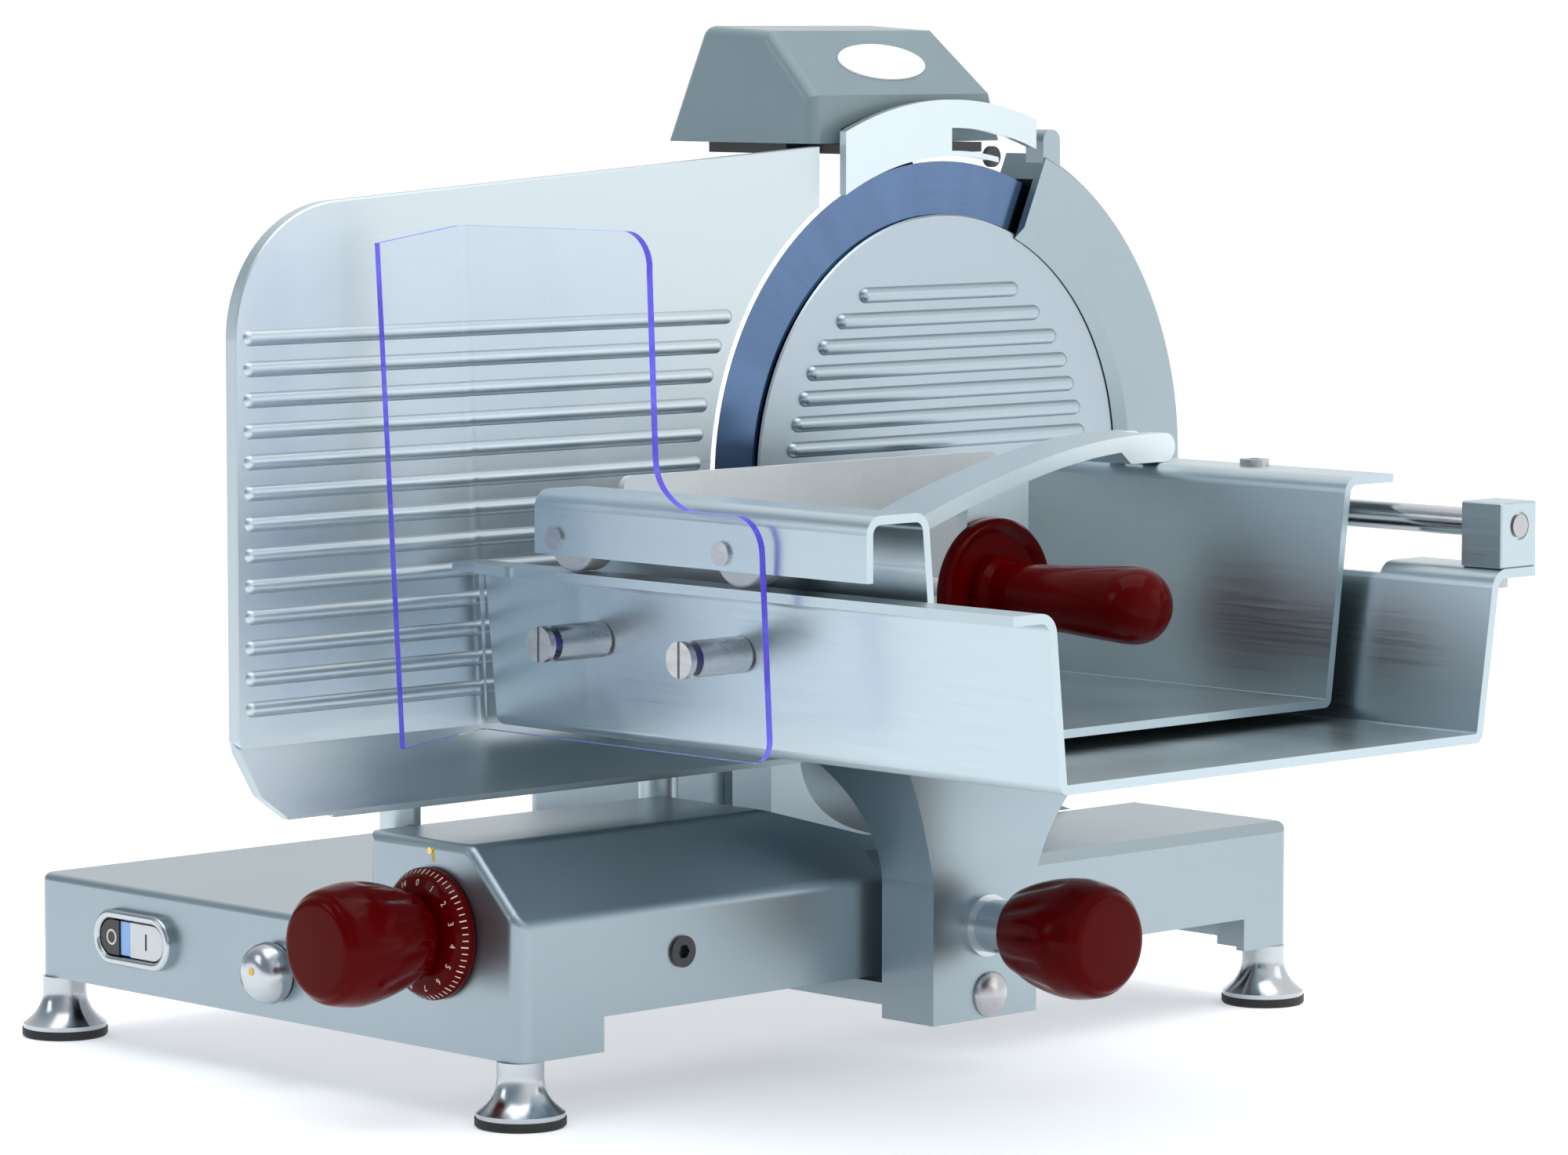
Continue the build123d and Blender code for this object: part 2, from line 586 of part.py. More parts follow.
with BuildPart() as tray_column:
    with BuildSketch(xz(-20)):
        with BuildLine():
            Polyline((88, 192), (88, 197.4), (186, 197.4), (186, 192))
            ThreePointArc((186, 192), (167, 163), (157.3, 118))
            Polyline((157.3, 118), (157.3, 31), (117.8, 31), (117.8, 118))
            ThreePointArc((117.8, 118), (109, 156), (88, 192))
        make_face()
    extrude(amount=210)
    with BuildSketch(yz(80)):
        with BuildLine():
            Polyline((-222, 192), (-222, 197.4), (-24, 197.4), (-24, 192))
            ThreePointArc((-24, 192), (-62, 147), (-81.1, 108))
            Polyline((-81.1, 108), (-81.1, 31), (-160.9, 31), (-160.9, 108))
            ThreePointArc((-160.9, 108), (-176, 150), (-222, 192))
        make_face()
    extrude(amount=120, mode=Mode.INTERSECT)
    add(rod_x((145, 160), CLAMP_Y, CLAMP_Z, 8.05), mode=Mode.SUBTRACT)
    add(rod_x((140, 160), -117.4, 44, 6.05), mode=Mode.SUBTRACT)

with BuildPart() as clamp_bush:
    add(rod_x((157.3, 160.5), CLAMP_Y, CLAMP_Z, 17))
    add(rod_x((160.5, CLAMP_END), CLAMP_Y, CLAMP_Z, 14.5))
    add(rod_x((157, 191), CLAMP_Y, CLAMP_Z, 8.05), mode=Mode.SUBTRACT)

with BuildPart() as clamp_knob:
    add(Pos(CLAMP_END + 0.3, CLAMP_Y, CLAMP_Z) * Rot(0, 90, 0) * grip_turned)
    add(rod_x((146, 195), CLAMP_Y, CLAMP_Z, 8))

with BuildPart() as column_bolt:
    with BuildSketch(Plane(origin=(0, -117.4, 44), x_dir=(1, 0, 0), z_dir=(0, -1, 0))):
        with BuildLine():
            Polyline((163.5, 0), (141, 0), (141, 6), (157.3, 6), (157.3, 12.5), (158.3, 12.5))
            Spline((158.3, 12.5), (162.15, 6.77), (163.5, 0), tangents=[(1, -0.4), (0, -1)])
        make_face()
    revolve(axis=Axis((0, -117.4, 44), (1, 0, 0)))

OUTER_SECTION = [(-376, 282.1), (-351.2, 282.1), (-342.7, 197.4), (-26, 197.4), (-13.2, 282.1), (16, 282.1)]

with BuildPart() as outer_tray:
    with BuildSketch(yz(TRAY_X[0])):
        bent_sheet(OUTER_SECTION, 6, TRAY_T)
    extrude(amount=TRAY_X[1] - TRAY_X[0])
    # the right flange is left only at the two ends, under the guide rod blocks
    add(slab((72, 348), (-24, 30), (280.5, 300)), mode=Mode.SUBTRACT)

# ---------------------------------------------------------------- clear hand guard
LEAN = math.degrees(math.atan(0.05))
guard_plane = Plane(origin=(0, -388, 250), x_dir=(1, 0, 0), z_dir=(0, -1, -0.05))

with BuildPart() as hand_guard:
    with BuildSketch(guard_plane):
        with BuildLine():
            Polyline((50, 216), (172, 216))
            TangentArc((172, 216), (189, 196), tangent=(1, 0))
            Line((189, 196), (188, 104))
            Spline((188, 104), (192, 88), (208, 77), (222, 76), tangents=[(0, -1), (1, 0)])
            Line((222, 76), (246, 76))
            TangentArc((246, 76), (264, 57), tangent=(1, 0))
            Line((264, 57), (264.5, -36))
            TangentArc((264.5, -36), (252, -48.5), tangent=(0, -1))
            Polyline((252, -48.5), (50, -48.5), (50, 216))
        make_face()
    extrude(amount=-4)
    # wing folded towards the operator, with a rounded bend
    wing = Plane(origin=(44, -388, 250), x_dir=(0, -1, -0.05), z_dir=(-1, 0, 0))
    with BuildSketch(wing):
        polygon([(2, -48.5), (54, -52), (56, 211), (2, 216)])
    extrude(amount=-4)
    up = (0, -0.05, 1)
    with BuildSketch(Plane(origin=(50, -388 + 48.5 * 0.05, 201.5), x_dir=(1, 0, 0), z_dir=up)):
        with Locations((0, -2)):
            Circle(6)
            Circle(2, mode=Mode.SUBTRACT)
        with Locations((-3, 1)):
            Rectangle(6, 6, mode=Mode.INTERSECT)
    extrude(amount=264.8)
    for sx in STANDOFF_X:
        add(rod_y(sx, (-400, -370), 250.5, 4.2), mode=Mode.SUBTRACT)

with BuildPart() as guard_standoffs:
    for sx in STANDOFF_X:
        add(rod_y(sx, (-383.2, -349.2), 250.5, 9.5))
        add(rod_y(sx, (-390, -380), 250.5, 4))
        add(rod_y(sx, (-393, -389), 250.5, 9.5))
        add(slab((sx - 0.9, sx + 0.9), (-394, -391.4), (240, 261)), mode=Mode.SUBTRACT)

# ---------------------------------------------------------------- guide rod and inner tray
with BuildPart() as rod_blocks:
    for x in ((TRAY_X[0], 37.5), (398, TRAY_X[1])):
        add(slab(x, (-12, 16.4), (287.1, 321.5)))
    chamfer(rod_blocks.edges(), 0.8)
    add(rod_x((9, 426), ROD_Y, ROD_Z, ROD_R + 0.02), mode=Mode.SUBTRACT)

with BuildPart() as guide_rod:
    add(rod_x((12, 424), ROD_Y, ROD_Z, ROD_R))

with BuildPart() as rod_screws:
    for x in ((9.2, 12), (424, 426.3)):
        add(rod_x(x, ROD_Y, ROD_Z, 6))
    for x in (24, 411):
        add(rod_z(x, ROD_Y, (276, 282), 5.5))

INNER_SECTION = [(-379, 297), (-379, 325.5), (-345, 325.5), (-334, 209.4),
                 (-39.3, 209.4), (-24, 326.5), (10, 326.5)]

with BuildPart() as inner_tray:
    with BuildSketch(yz(INNER_X[0])):
        bent_sheet(INNER_SECTION, 5, 4.5)
    extrude(amount=INNER_X[1] - INNER_X[0])
    add(rod_z(240, ROD_Y, (320, 340), 4.05), mode=Mode.SUBTRACT)
    for x in ROLLER_X:
        add(rod_y(x, (-390, -375), 305.5, 5.02), mode=Mode.SUBTRACT)

with BuildPart() as slide_bush:
    add(rod_x((196, 284), ROD_Y, ROD_Z, 13))
    add(slab((200, 280), (ROD_Y - 8, ROD_Y + 6), (ROD_Z, 326)))
    add(rod_x((190, 290), ROD_Y, ROD_Z, ROD_R + 0.05), mode=Mode.SUBTRACT)
    add(rod_z(240, ROD_Y, (317, 330), 4.02), mode=Mode.SUBTRACT)

with BuildPart() as inner_tray_fixings:
    for x in ROLLER_X:
        add(rod_y(x, (-385.3, -350), 305.5, 5))
        add(rod_y(x, (-385.3, -383.5), 305.5, 6.3))
    add(rod_z(240, ROD_Y, (317, 331), 4))
    add(rod_z(240, ROD_Y, (331, 334.5), 8))
    with BuildSketch(Plane.XY.offset(332.5)):
        with Locations((240, ROD_Y)):
            RegularPolygon(3.4, 6)
    extrude(amount=3, mode=Mode.SUBTRACT)


def roller(x):
    """Skirt roller that runs on the left flange of the outer tray."""
    with BuildPart() as wheel:
        add(rod_y(x, (-372, -356), 305.5, 18))
        fillet(wheel.edges().filter_by(GeomType.CIRCLE), 1.5)
        add(rod_y(x, (-374, -354), 305.5, 5.05), mode=Mode.SUBTRACT)
    return wheel.part


with BuildPart() as roller_far:
    add(roller(ROLLER_X[0]))
with BuildPart() as roller_near:
    add(roller(ROLLER_X[1]))

ARCH = [(-306, 262), (-262, 287.5), (-204, 312), (-143, 330.5), (-101, 340), (-62, 345.5), (-30, 347.1)]
UNDER = [(-52, 338), (-101, 331.5), (-143, 321.5), (-204, 303), (-262, 278), (-302, 255)]

with BuildPart() as press_arm:
    with BuildSketch(yz(ARM_X[0])):
        with BuildLine():
            Spline(*ARCH)
            Line((-30, 347.1), (PIVOT_Y, 347.1))
            ThreePointArc((PIVOT_Y, 347.1), (PIVOT_Y + PIVOT_R, PIVOT_Z), (PIVOT_Y, 331.3))
            Polyline((PIVOT_Y, 331.3), (-44, 331.3), (-52, 338))
            Spline(*UNDER)
            Line((-302, 255), (-306, 262))
        make_face()
    extrude(amount=ARM_X[1] - ARM_X[0])
    # web that carries the handle, and the strut to the left end of the plate
    with BuildSketch(yz(170)):
        polygon([(-160, 255), (-122, 255), (-110, 268), (-110, 334), (-156, 322)])
    extrude(amount=8)
    add(slab((84, 172), (-290, -276), (256, 270)))
    # fork over the hinge lug
    add(slab((168, 181), (-27, 0), (325, 350)), mode=Mode.SUBTRACT)
    add(rod_x((150, 190), PIVOT_Y, PIVOT_Z, 3.05), mode=Mode.SUBTRACT)
    add(rod_x((165, 180), HANDLE_Y, HANDLE_Z, 5.02), mode=Mode.SUBTRACT)

with BuildPart() as arm_hinge:
    with BuildSketch(yz(168.5)):
        polygon([(-24, 331), (-10, 331), (-11, 343), (-14, 345.5), (-20, 345.5), (-23, 343)])
    extrude(amount=12)
    add(rod_x((158, 189.5), PIVOT_Y, PIVOT_Z, 3))

HANDLE_PLANE = Plane(origin=(0, HANDLE_Y, HANDLE_Z), x_dir=(1, 0, 0), z_dir=(0, 0, 1))
HANDLE_AXIS = Axis((0, HANDLE_Y, HANDLE_Z), (1, 0, 0))

with BuildPart() as handle_disc:
    with BuildSketch(HANDLE_PLANE):
        polygon([(178, 5.02), (178, 37), (180, 40), (187, 40), (189, 38), (187, 35), (184, 32), (184, 5.02)])
    revolve(axis=HANDLE_AXIS)

with BuildPart() as handle_grip:
    with BuildSketch(HANDLE_PLANE):
        with BuildLine():
            Polyline((184, 0), (184, 20.5), (192, 20.5), (196, 17.5))
            Spline((196, 17.5), (215, 17.3), (255, 19), (285, 20.5), tangents=[(1, -0.2), (1, 0)])
            Spline((285, 20.5), (299.5, 14.8), (305.5, 0), tangents=[(1, 0), (0, -1)])
            Line((305.5, 0), (184, 0))
        make_face()
    revolve(axis=HANDLE_AXIS)
    add(rod_x((180, 200), HANDLE_Y, HANDLE_Z, 5.02), mode=Mode.SUBTRACT)

with BuildPart() as pusher_plate:
    with BuildSketch(yz(80)):
        polygon([(-308, 222), (-50, 222), (-37, 333), (-318, 333)])
    extrude(amount=4)
    fillet(pusher_plate.edges().filter_by(Axis.X), 6)
    add(rod_x((83, 200), HANDLE_Y, HANDLE_Z, 5))
    add(rod_x((83, 87), HANDLE_Y, HANDLE_Z, 9))
    for row in range(3):
        for col in range(8):
            with Locations(Plane(origin=(80, -290 + 31 * col, 245 + 32 * row), z_dir=(-1, 0, 0))):
                Cone(2.2, 0.4, 5, align=(Align.CENTER, Align.CENTER, Align.MIN))

# ---------------------------------------------------------------- output
os.makedirs("parts", exist_ok=True)
PIECES = {name: built for name, built in dict(globals()).items() if isinstance(built, BuildPart)}
for name, built in PIECES.items():
    piece = built.part.moved(Location((ORIGIN_X, ORIGIN_Y, 0)))
    piece.label = name
    export_step(piece, f"parts/{name}.step")
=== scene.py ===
"""Deli meat slicer: materials, small details, floor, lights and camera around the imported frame. Metres."""
import math

import bmesh
import bpy
from mathutils import Matrix, Vector


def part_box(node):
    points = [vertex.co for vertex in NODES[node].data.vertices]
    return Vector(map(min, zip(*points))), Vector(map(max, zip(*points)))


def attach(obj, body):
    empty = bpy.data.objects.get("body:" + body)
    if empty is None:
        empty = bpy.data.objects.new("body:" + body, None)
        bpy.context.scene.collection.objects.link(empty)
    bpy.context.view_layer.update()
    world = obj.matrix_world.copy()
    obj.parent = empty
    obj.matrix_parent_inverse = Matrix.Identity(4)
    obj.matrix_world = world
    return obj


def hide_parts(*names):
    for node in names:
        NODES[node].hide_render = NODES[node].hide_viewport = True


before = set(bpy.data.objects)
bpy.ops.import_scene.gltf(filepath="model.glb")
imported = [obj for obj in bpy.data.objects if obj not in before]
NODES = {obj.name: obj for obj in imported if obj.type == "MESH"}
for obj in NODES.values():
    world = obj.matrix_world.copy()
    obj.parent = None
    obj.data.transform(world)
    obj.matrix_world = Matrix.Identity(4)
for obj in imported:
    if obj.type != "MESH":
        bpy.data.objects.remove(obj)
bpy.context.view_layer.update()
MM = 0.001


# ---------------------------------------------------------------- node helpers
class Graph:
    """A material's node tree with short calls for the nodes used here."""

    def __init__(self, name):
        self.material = bpy.data.materials.new(name)
        self.material.use_nodes = True
        self.tree = self.material.node_tree
        self.shader = self.tree.nodes["Principled BSDF"]

    def node(self, kind, settings=None, **inputs):
        made = self.tree.nodes.new(kind)
        for key, value in (settings or {}).items():
            setattr(made, key, value)
        for key, value in inputs.items():
            self.feed(made.inputs[key.replace("_", " ")], value)
        return made

    def feed(self, socket, value):
        if isinstance(value, bpy.types.NodeSocket):
            self.tree.links.new(value, socket)
        else:
            socket.default_value = value

    def place(self, scale=(1, 1, 1), offset=(0, 0, 0)):
        """Object coordinates in metres, stretched by scale."""
        coordinate = self.node("ShaderNodeTexCoord")
        mapping = self.node("ShaderNodeMapping", Vector=coordinate.outputs["Object"])
        mapping.inputs["Scale"].default_value = scale
        mapping.inputs["Location"].default_value = offset
        return mapping.outputs["Vector"]

    def noise(self, vector, scale, detail=3.0, roughness=0.55):
        made = self.node("ShaderNodeTexNoise", Vector=vector, Scale=scale, Detail=detail, Roughness=roughness)
        return made.outputs["Fac"]

    def math(self, operation, a, b=0.0):
        made = self.node("ShaderNodeMath", {"operation": operation})
        self.feed(made.inputs[0], a)
        self.feed(made.inputs[1], b)
        return made.outputs[0]

    def span(self, value, low, high, start=0.25, end=0.75):
        """Maps value from start..end to low..high."""
        made = self.node("ShaderNodeMapRange", Value=value)
        made.inputs["From Min"].default_value = start
        made.inputs["From Max"].default_value = end
        made.inputs["To Min"].default_value = low
        made.inputs["To Max"].default_value = high
        return made.outputs["Result"]

    def blend(self, factor, first, second):
        made = self.node("ShaderNodeMix", {"data_type": "RGBA"})
        self.feed(made.inputs["Factor"], factor)
        self.feed(made.inputs["A"], first)
        self.feed(made.inputs["B"], second)
        return made.outputs["Result"]

    def bump(self, height, strength, distance, normal=None):
        made = self.node("ShaderNodeBump", Height=height, Strength=strength, Distance=distance)
        if normal is not None:
            self.feed(made.inputs["Normal"], normal)
        return made.outputs["Normal"]

    def set(self, **inputs):
        for key, value in inputs.items():
            self.feed(self.shader.inputs[key.replace("_", " ")], value)
        return self.material


def shade(colour, factor):
    return (colour[0] * factor, colour[1] * factor, colour[2] * factor, 1.0)


# ---------------------------------------------------------------- materials
def brushed(name, colour, roughness, stretch, contrast=0.06):
    """Rolled or belt-ground aluminium, its fine lines along the axis with the small stretch."""
    g = Graph(name)
    lines = g.noise(g.place(stretch), 1.0, 4.0, 0.6)
    clouds = g.noise(g.place(), 9.0, 3.0)
    tone = g.math("ADD", g.span(lines, -contrast, contrast), g.span(clouds, 0.42, 0.58))
    colour_mix = g.blend(tone, shade(colour, 0.86), shade(colour, 1.12))
    rough = g.math("ADD", g.span(lines, roughness - 0.05, roughness + 0.07), g.span(clouds, -0.03, 0.03))
    return g.set(Base_Color=colour_mix, Metallic=1.0, Roughness=rough, Normal=g.bump(lines, 0.10, 0.00006))


def cast(name, colour, roughness):
    """Bead-blasted casting: fine even grain over soft clouds of tone."""
    g = Graph(name)
    grain = g.noise(g.place(), 1600.0, 2.0)
    pits = g.noise(g.place(), 420.0, 3.0)
    clouds = g.noise(g.place(), 6.0, 4.0)
    tone = g.math("ADD", g.span(clouds, 0.35, 0.65), g.span(grain, -0.08, 0.08))
    colour_mix = g.blend(tone, shade(colour, 0.88), shade(colour, 1.08))
    rough = g.math("ADD", g.span(grain, roughness - 0.04, roughness + 0.05), g.span(clouds, -0.04, 0.04))
    height = g.math("ADD", grain, g.math("MULTIPLY", pits, 0.6))
    return g.set(Base_Color=colour_mix, Metallic=1.0, Roughness=rough, Normal=g.bump(height, 0.12, 0.00008))


def turned(name, colour, roughness, centre, contrast=0.10, streaks=0.0, tint=None):
    """Metal turned or ground about the X axis through centre: fine rings, and faint radial streaks."""
    g = Graph(name)
    flat = g.node("ShaderNodeSeparateXYZ", Vector=g.place(offset=(0, -centre[1], -centre[2])))
    y, z = flat.outputs["Y"], flat.outputs["Z"]
    radius = g.math("SQRT", g.math("ADD", g.math("MULTIPLY", y, y), g.math("MULTIPLY", z, z)))
    angle = g.math("ARCTAN2", z, y)
    ring_at = g.node("ShaderNodeCombineXYZ", X=g.math("MULTIPLY", radius, 2600.0), Y=angle)
    rings = g.noise(ring_at.outputs["Vector"], 1.0, 3.0)
    fan_at = g.node("ShaderNodeCombineXYZ", X=g.math("COSINE", angle), Y=g.math("SINE", angle), Z=radius)
    fan = g.noise(fan_at.outputs["Vector"], 7.0, 5.0, 0.7)
    tone = g.math("ADD", g.span(rings, 0.5 - contrast, 0.5 + contrast), g.span(fan, -streaks, streaks))
    colour_mix = g.blend(tone, shade(tint or colour, 0.80), shade(colour, 1.15))
    rough = g.math("ADD", g.span(rings, roughness - 0.03, roughness + 0.05), g.span(fan, -0.03, 0.03))
    return g.set(Base_Color=colour_mix, Metallic=1.0, Roughness=rough, Normal=g.bump(rings, 0.06, 0.00003))


def polished(name, colour, roughness):
    """Smooth plated metal with faint wipe marks."""
    g = Graph(name)
    wipes = g.noise(g.place((60, 60, 260)), 1.0, 4.0)
    clouds = g.noise(g.place(), 30.0, 2.0)
    colour_mix = g.blend(g.span(clouds, 0.3, 0.7), shade(colour, 0.92), shade(colour, 1.06))
    rough = g.span(wipes, roughness * 0.7, roughness * 1.5)
    return g.set(Base_Color=colour_mix, Metallic=1.0, Roughness=rough, Normal=g.bump(wipes, 0.04, 0.00004))


def moulded(name, colour, roughness, coat=0.0, grain=900.0, depth=0.05, contrast=0.12, specular=0.5):
    """Moulded plastic or paint: faint orange peel, slight change of tone and gloss."""
    g = Graph(name)
    peel = g.noise(g.place(), grain, 2.0)
    clouds = g.noise(g.place(), 22.0, 3.0)
    colour_mix = g.blend(g.span(clouds, 0.3, 0.7), shade(colour, 1 - contrast), shade(colour, 1 + contrast))
    rough = g.math("ADD", g.span(clouds, roughness * 0.85, roughness * 1.15), g.span(peel, -0.02, 0.02))
    g.set(Base_Color=colour_mix, Roughness=rough, Normal=g.bump(peel, depth, 0.00006))
    g.set(Specular_IOR_Level=specular)
    if coat:
        g.set(Coat_Weight=coat, Coat_Roughness=0.06)
    return g.material


def stone(name, colour):
    """Sintered abrasive with glittering grains."""
    g = Graph(name)
    cells = g.node("ShaderNodeTexVoronoi", Vector=g.place(), Scale=1400.0)
    colour_mix = g.blend(cells.outputs["Distance"], shade(colour, 0.6), shade(colour, 1.9))
    return g.set(Base_Color=colour_mix, Roughness=0.85, Normal=g.bump(cells.outputs["Distance"], 0.5, 0.0002))


WING_BEND = 8 * MM
WING_START = 20 * MM


def clear_sheet(name):
    """Clear acrylic with the faintest haze and wipe marks, whose cut edges carry a painted violet-blue glow:
    colour and emission standing in for light carried through the sheet.

    The wing is what lies within WING_BEND of the guard's blade side.
    Its cut edges are looked for from WING_START off the guard's back.
    """
    g = Graph(name)
    wipes = g.noise(g.place((12, 12, 30)), 1.0, 5.0)
    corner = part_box("hand_guard")[0].x + WING_BEND
    normal = g.node("ShaderNodeSeparateXYZ", Vector=g.node("ShaderNodeTexCoord").outputs["Normal"])
    point = g.node("ShaderNodeSeparateXYZ", Vector=g.place())
    across = [g.math("ABSOLUTE", normal.outputs[key]) for key in ("X", "Y", "Z")]
    on_sheet = g.math("GREATER_THAN", point.outputs["X"], corner)
    sheet_rim = g.math("MULTIPLY", on_sheet, g.math("LESS_THAN", across[1], 0.5))
    past_bend = g.math("LESS_THAN", point.outputs["Y"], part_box("hand_guard")[1].y - WING_START)
    beside = g.math("MULTIPLY", g.math("SUBTRACT", 1.0, on_sheet), past_bend)
    wing_rim = g.math("MULTIPLY", beside, g.math("LESS_THAN", across[0], 0.3))
    rim = g.math("MAXIMUM", sheet_rim, wing_rim)
    streaks = g.noise(g.place((30, 30, 30)), 1.0, 3.0)
    # painted edge glow: violet-blue colour for the cut edges, standing in for light carried through the
    # sheet, not the acrylic's own colour
    painted_edge_glow = g.blend(g.span(streaks, 0.0, 1.0), (0.05, 0.03, 0.42, 1), (0.16, 0.14, 0.80, 1))
    # the cut edges take the painted glow colour, less transmission, and a faint emission that is also painted
    # glow, not a lamp
    return g.set(Base_Color=g.blend(rim, (0.93, 0.95, 0.99, 1), painted_edge_glow), Roughness=g.span(wipes, 0.0, 0.035),
                 Transmission_Weight=g.math("SUBTRACT", 1.0, g.math("MULTIPLY", rim, 0.75)), IOR=1.2,
                 Emission_Color=(0.10, 0.07, 0.75, 1), Emission_Strength=g.math("MULTIPLY", rim, 0.22))


ALUMINIUM = (0.36, 0.43, 0.47)
HUB = (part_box("blade")[0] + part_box("blade")[1]) / 2
LOOKS = {
    "cast": cast("cast_aluminium", ALUMINIUM, 0.36),
    "sheet_y": brushed("anodised_sheet_y", (0.56, 0.63, 0.67), 0.38, (900, 14, 900)),
    "sheet_x": brushed("anodised_sheet_x", (0.52, 0.61, 0.65), 0.32, (14, 900, 900)),
    "arm": cast("anodised_arm", (0.72, 0.79, 0.82), 0.34),
    "cover": turned("blade_cover_metal", (0.42, 0.49, 0.54), 0.34, HUB, 0.08),
    "blade": turned("blade_steel", (0.13, 0.22, 0.37), 0.16, HUB, 0.10, 0.16, (0.11, 0.15, 0.27)),
    "guard": brushed("guard_plate", (0.62, 0.70, 0.74), 0.30, (900, 14, 900)),
    "grey": moulded("grey_paint", (0.185, 0.255, 0.285), 0.36, 0.15, 1200.0, 0.06),
    "steel": polished("bright_steel", (0.60, 0.61, 0.63), 0.16),
    "screw": polished("screw_steel", (0.50, 0.50, 0.51), 0.26),
    "chrome": polished("satin_chrome", (0.52, 0.55, 0.58), 0.20),
    "rubber": moulded("black_rubber", (0.012, 0.012, 0.013), 0.6, 0.0, 700.0, 0.3),
    "red": moulded("red_plastic", (0.085, 0.0002, 0.0005), 0.13, 0.0, 500.0, 0.02, 0.2, 0.06),
    "black": moulded("black_plastic", (0.012, 0.013, 0.015), 0.30, 0.1, 900.0, 0.08),
    "white": moulded("white_plastic", (0.66, 0.68, 0.69), 0.28, 0.2),
    "lamp": moulded("blue_lens", (0.22, 0.42, 0.80), 0.18, 0.5),
    "badge": moulded("badge_enamel", (0.80, 0.80, 0.80), 0.22, 0.5),
    "brass": polished("brass", (0.75, 0.55, 0.22), 0.2),
    "stone": stone("abrasive", (0.05, 0.05, 0.055)),
    "motor": moulded("motor_enamel", (0.03, 0.035, 0.04), 0.4),
    "clear": clear_sheet("clear_acrylic"),
    "ink": moulded("pale_print", (0.75, 0.66, 0.60), 0.5),
    "dark_ink": moulded("dark_print", (0.03, 0.03, 0.035), 0.5),
    "yellow": moulded("yellow_print", (0.80, 0.55, 0.05), 0.5),
}
NODE_LOOKS = {
    "cast": ["base_casting", "blade_head", "tray_column", "carriage_arm", "belt_case", "gauge_carriage",
             "motor_housing"],
    "sheet_y": ["gauge_plate", "gauge_posts"],
    "sheet_x": ["outer_tray", "inner_tray", "rod_blocks"],
    "arm": ["press_arm", "arm_hinge"],
    "cover": ["blade_cover"],
    "blade": ["blade"],
    "guard": ["sharpener_plate"],
    "grey": ["sharpener_cover"],
    "steel": ["blade_shaft", "blade_bearings", "carriage_rods", "gauge_bars", "guide_rod", "thickness_shaft",
              "motor_pulley", "base_plate", "slide_bush"],
    "screw": ["blade_screws", "rod_screws", "inner_tray_fixings", "column_bolt", "guard_standoffs"],
    "chrome": ["feet", "switch_bezel", "lock_knob", "clamp_bush"],
    "rubber": ["foot_pads", "drive_belt", "cable_gland"],
    "red": ["thickness_dial", "thickness_grip", "clamp_knob", "handle_disc", "handle_grip"],
    "black": ["side_plug", "switch_box", "stop_button", "cover_knob", "sharpener_body"],
    "white": ["start_button", "roller_far", "roller_near", "pusher_plate"],
    "lamp": ["lamp_lens"],
    "badge": ["badge"],
    "brass": ["index_pin"],
    "stone": ["grinding_stone", "honing_stone"],
    "motor": ["motor"],
    "clear": ["hand_guard"],
}


for look, names in NODE_LOOKS.items():
    for name in names:
        mesh = NODES[name].data
        mesh.materials.clear()
        mesh.materials.append(LOOKS[look])


# ---------------------------------------------------------------- mesh helpers
def new_piece(name, mesh_data, look, body):
    thing = bpy.data.objects.new(name, mesh_data)
    bpy.context.scene.collection.objects.link(thing)
    if not mesh_data.materials:
        mesh_data.materials.append(LOOKS[look])
    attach(thing, body)
    return thing


def from_bmesh(name, bm):
    data = bpy.data.meshes.new(name)
    bmesh.ops.recalc_face_normals(bm, faces=bm.faces)
    bm.to_mesh(data)
    bm.free()
    return data


# ---------------------------------------------------------------- turned pieces and small details
# Sizes below are in millimetres, and ORIGIN moves them into the frame.
# X is measured from the cutting plane, Y from the blade's centre and Z from the floor.
ORIGIN = Vector((-54.2, 157.75, 0.0))
DIAL_X, DIAL_Z = 40.5, 95.8
HANDLE_Y, HANDLE_Z = -142, 267
CLAMP_PLACE = (184, -121, 82.5)
LOCK_X, LOCK_Z = -91.5, 60
GRIP_START = -427
AROUND = 144
FLUTES = 12
FLUTE_DEPTH = 1.9
FLUTE_SPAN = (5, 44)
FLUTE_TWIST = 0.004
SHARP_ANGLE = math.radians(35)
TOWARDS_OPERATOR = Matrix(((1, 0, 0), (0, 0, -1), (0, 1, 0)))
ALONG_X = Matrix(((0, 0, 1), (0, 1, 0), (-1, 0, 0)))


def at(x, y, z):
    """Point in the frame, in metres."""
    return (Vector((x, y, z)) + ORIGIN) * MM


def curve_value(a, b, c, d, t):
    """Value between b and c of a smooth curve through a, b, c and d."""
    slope = c - a
    bend = 2 * a - 5 * b + 4 * c - d
    twist = 3 * b - a - 3 * c + d
    return 0.5 * (2 * b + slope * t + bend * t * t + twist * t ** 3)


def smooth_path(points, steps=6):
    """Points along a curve through the given (radius, height) points."""
    ends = [points[0]] + list(points) + [points[-1]]
    path = []
    for corners in zip(ends, ends[1:], ends[2:], ends[3:]):
        radii, heights = zip(*corners)
        for k in range(steps):
            path.append((curve_value(*radii, k / steps), curve_value(*heights, k / steps)))
    return path + [points[-1]]


def flute_bite(height, angle, span, depth, flutes):
    """How deep the flutes cut at a height and an angle. They fade out at both ends of span."""
    share = min(max((height - span[0]) / (span[1] - span[0]), 0.0), 1.0)
    fade = max(0.0, math.sin(math.pi * share)) ** 0.7
    wave = (0.5 + 0.5 * math.cos(flutes * (angle + FLUTE_TWIST * height))) ** 2.2
    return depth * fade * wave


